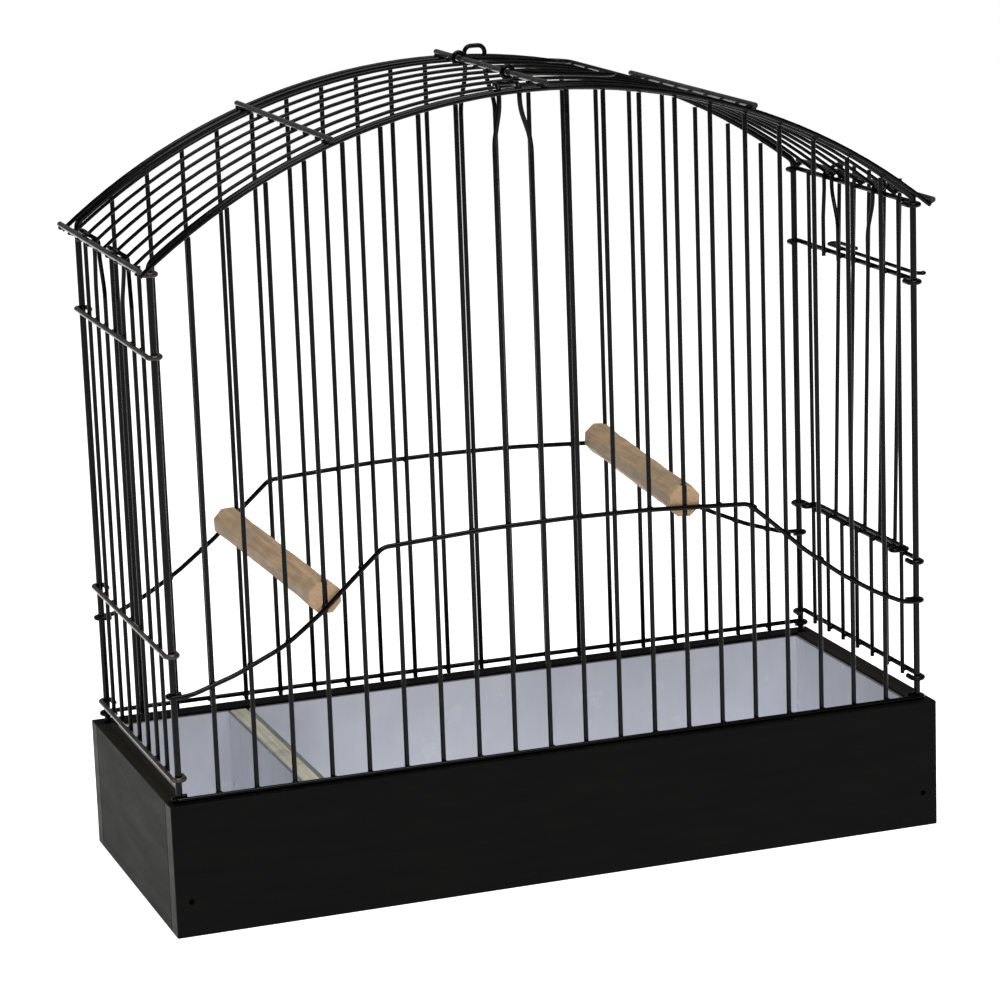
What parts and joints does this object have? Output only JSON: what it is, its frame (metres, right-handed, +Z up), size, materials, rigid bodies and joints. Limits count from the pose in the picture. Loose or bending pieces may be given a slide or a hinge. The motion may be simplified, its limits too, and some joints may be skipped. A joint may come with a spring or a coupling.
{
  "type": "bird cage",
  "caption": "Small wire bird cage with an arched roof, a sliding door in one end, wooden perches, a folding top handle and a lift-off black wooden box base with a divided tray.",
  "frame": {"origin": "centre of the underside of the box base", "axes": "+X along the length, towards the end with the door; +Y towards the back; +Z up"},
  "size_m": [0.3729, 0.145, 0.3575],
  "materials": {
    "black_wood": "satin",
    "raw_wood": "matte",
    "tray_metal": "satin",
    "nail_steel": "satin",
    "perch_wood": "matte",
    "black_wire": "gloss"
  },
  "bodies": {
    "base": {"base_front_board": "black_wood", "base_back_board": "black_wood", "base_left_board": "black_wood", "base_right_board": "black_wood", "base_floor": "raw_wood", "divider_board": "raw_wood", "seed_tray": "tray_metal", "litter_tray": "tray_metal", "base_nails": "nail_steel"},
    "cage": {"front_frame": "black_wire", "front_bars": "black_wire", "front_bottom_wire": "black_wire", "front_waved_wire": "black_wire", "front_clip": "black_wire", "back_frame": "black_wire", "back_bars": "black_wire", "back_bottom_wire": "black_wire", "back_waved_wire": "black_wire", "back_clip": "black_wire", "left_bottom_bar": "black_wire", "left_sill_bar": "black_wire", "left_lintel_bar": "black_wire", "left_top_bar": "black_wire", "right_bottom_bar": "black_wire", "right_sill_bar": "black_wire", "right_lintel_bar": "black_wire", "right_top_bar": "black_wire", "left_wires": "black_wire", "left_hooks": "black_wire", "right_guides": "black_wire", "right_lower_wires": "black_wire", "right_upper_wire": "black_wire", "right_hooks": "black_wire", "roof_wires": "black_wire", "roof_edge_wires": "black_wire", "roof_rod_left_end": "black_wire", "roof_rod_left": "black_wire", "roof_rod_middle": "black_wire", "roof_rod_right": "black_wire", "roof_rod_right_end": "black_wire", "perch_left": "perch_wood", "perch_right": "perch_wood"},
    "handle": {"carry_handle": "black_wire"},
    "door": {"door_bottom_rail": "black_wire", "door_upper_rail": "black_wire", "door_wires": "black_wire"}
  },
  "joints": [
    {"name": "cage_lift", "type": "slide", "parent": "base", "child": "cage", "axis": [0, 0, 1], "range_m": [0, 0.06]},
    {"name": "door_slide", "type": "slide", "parent": "cage", "child": "door", "axis": [0.0253, 0, 0.9997], "range_m": [0, 0.123]},
    {"name": "handle_swing", "type": "hinge", "parent": "cage", "child": "handle", "pos_m": [0, 0.0085, 0.35386], "axis": [0, -1, 0], "range_deg": [0, 190]}
  ]
}
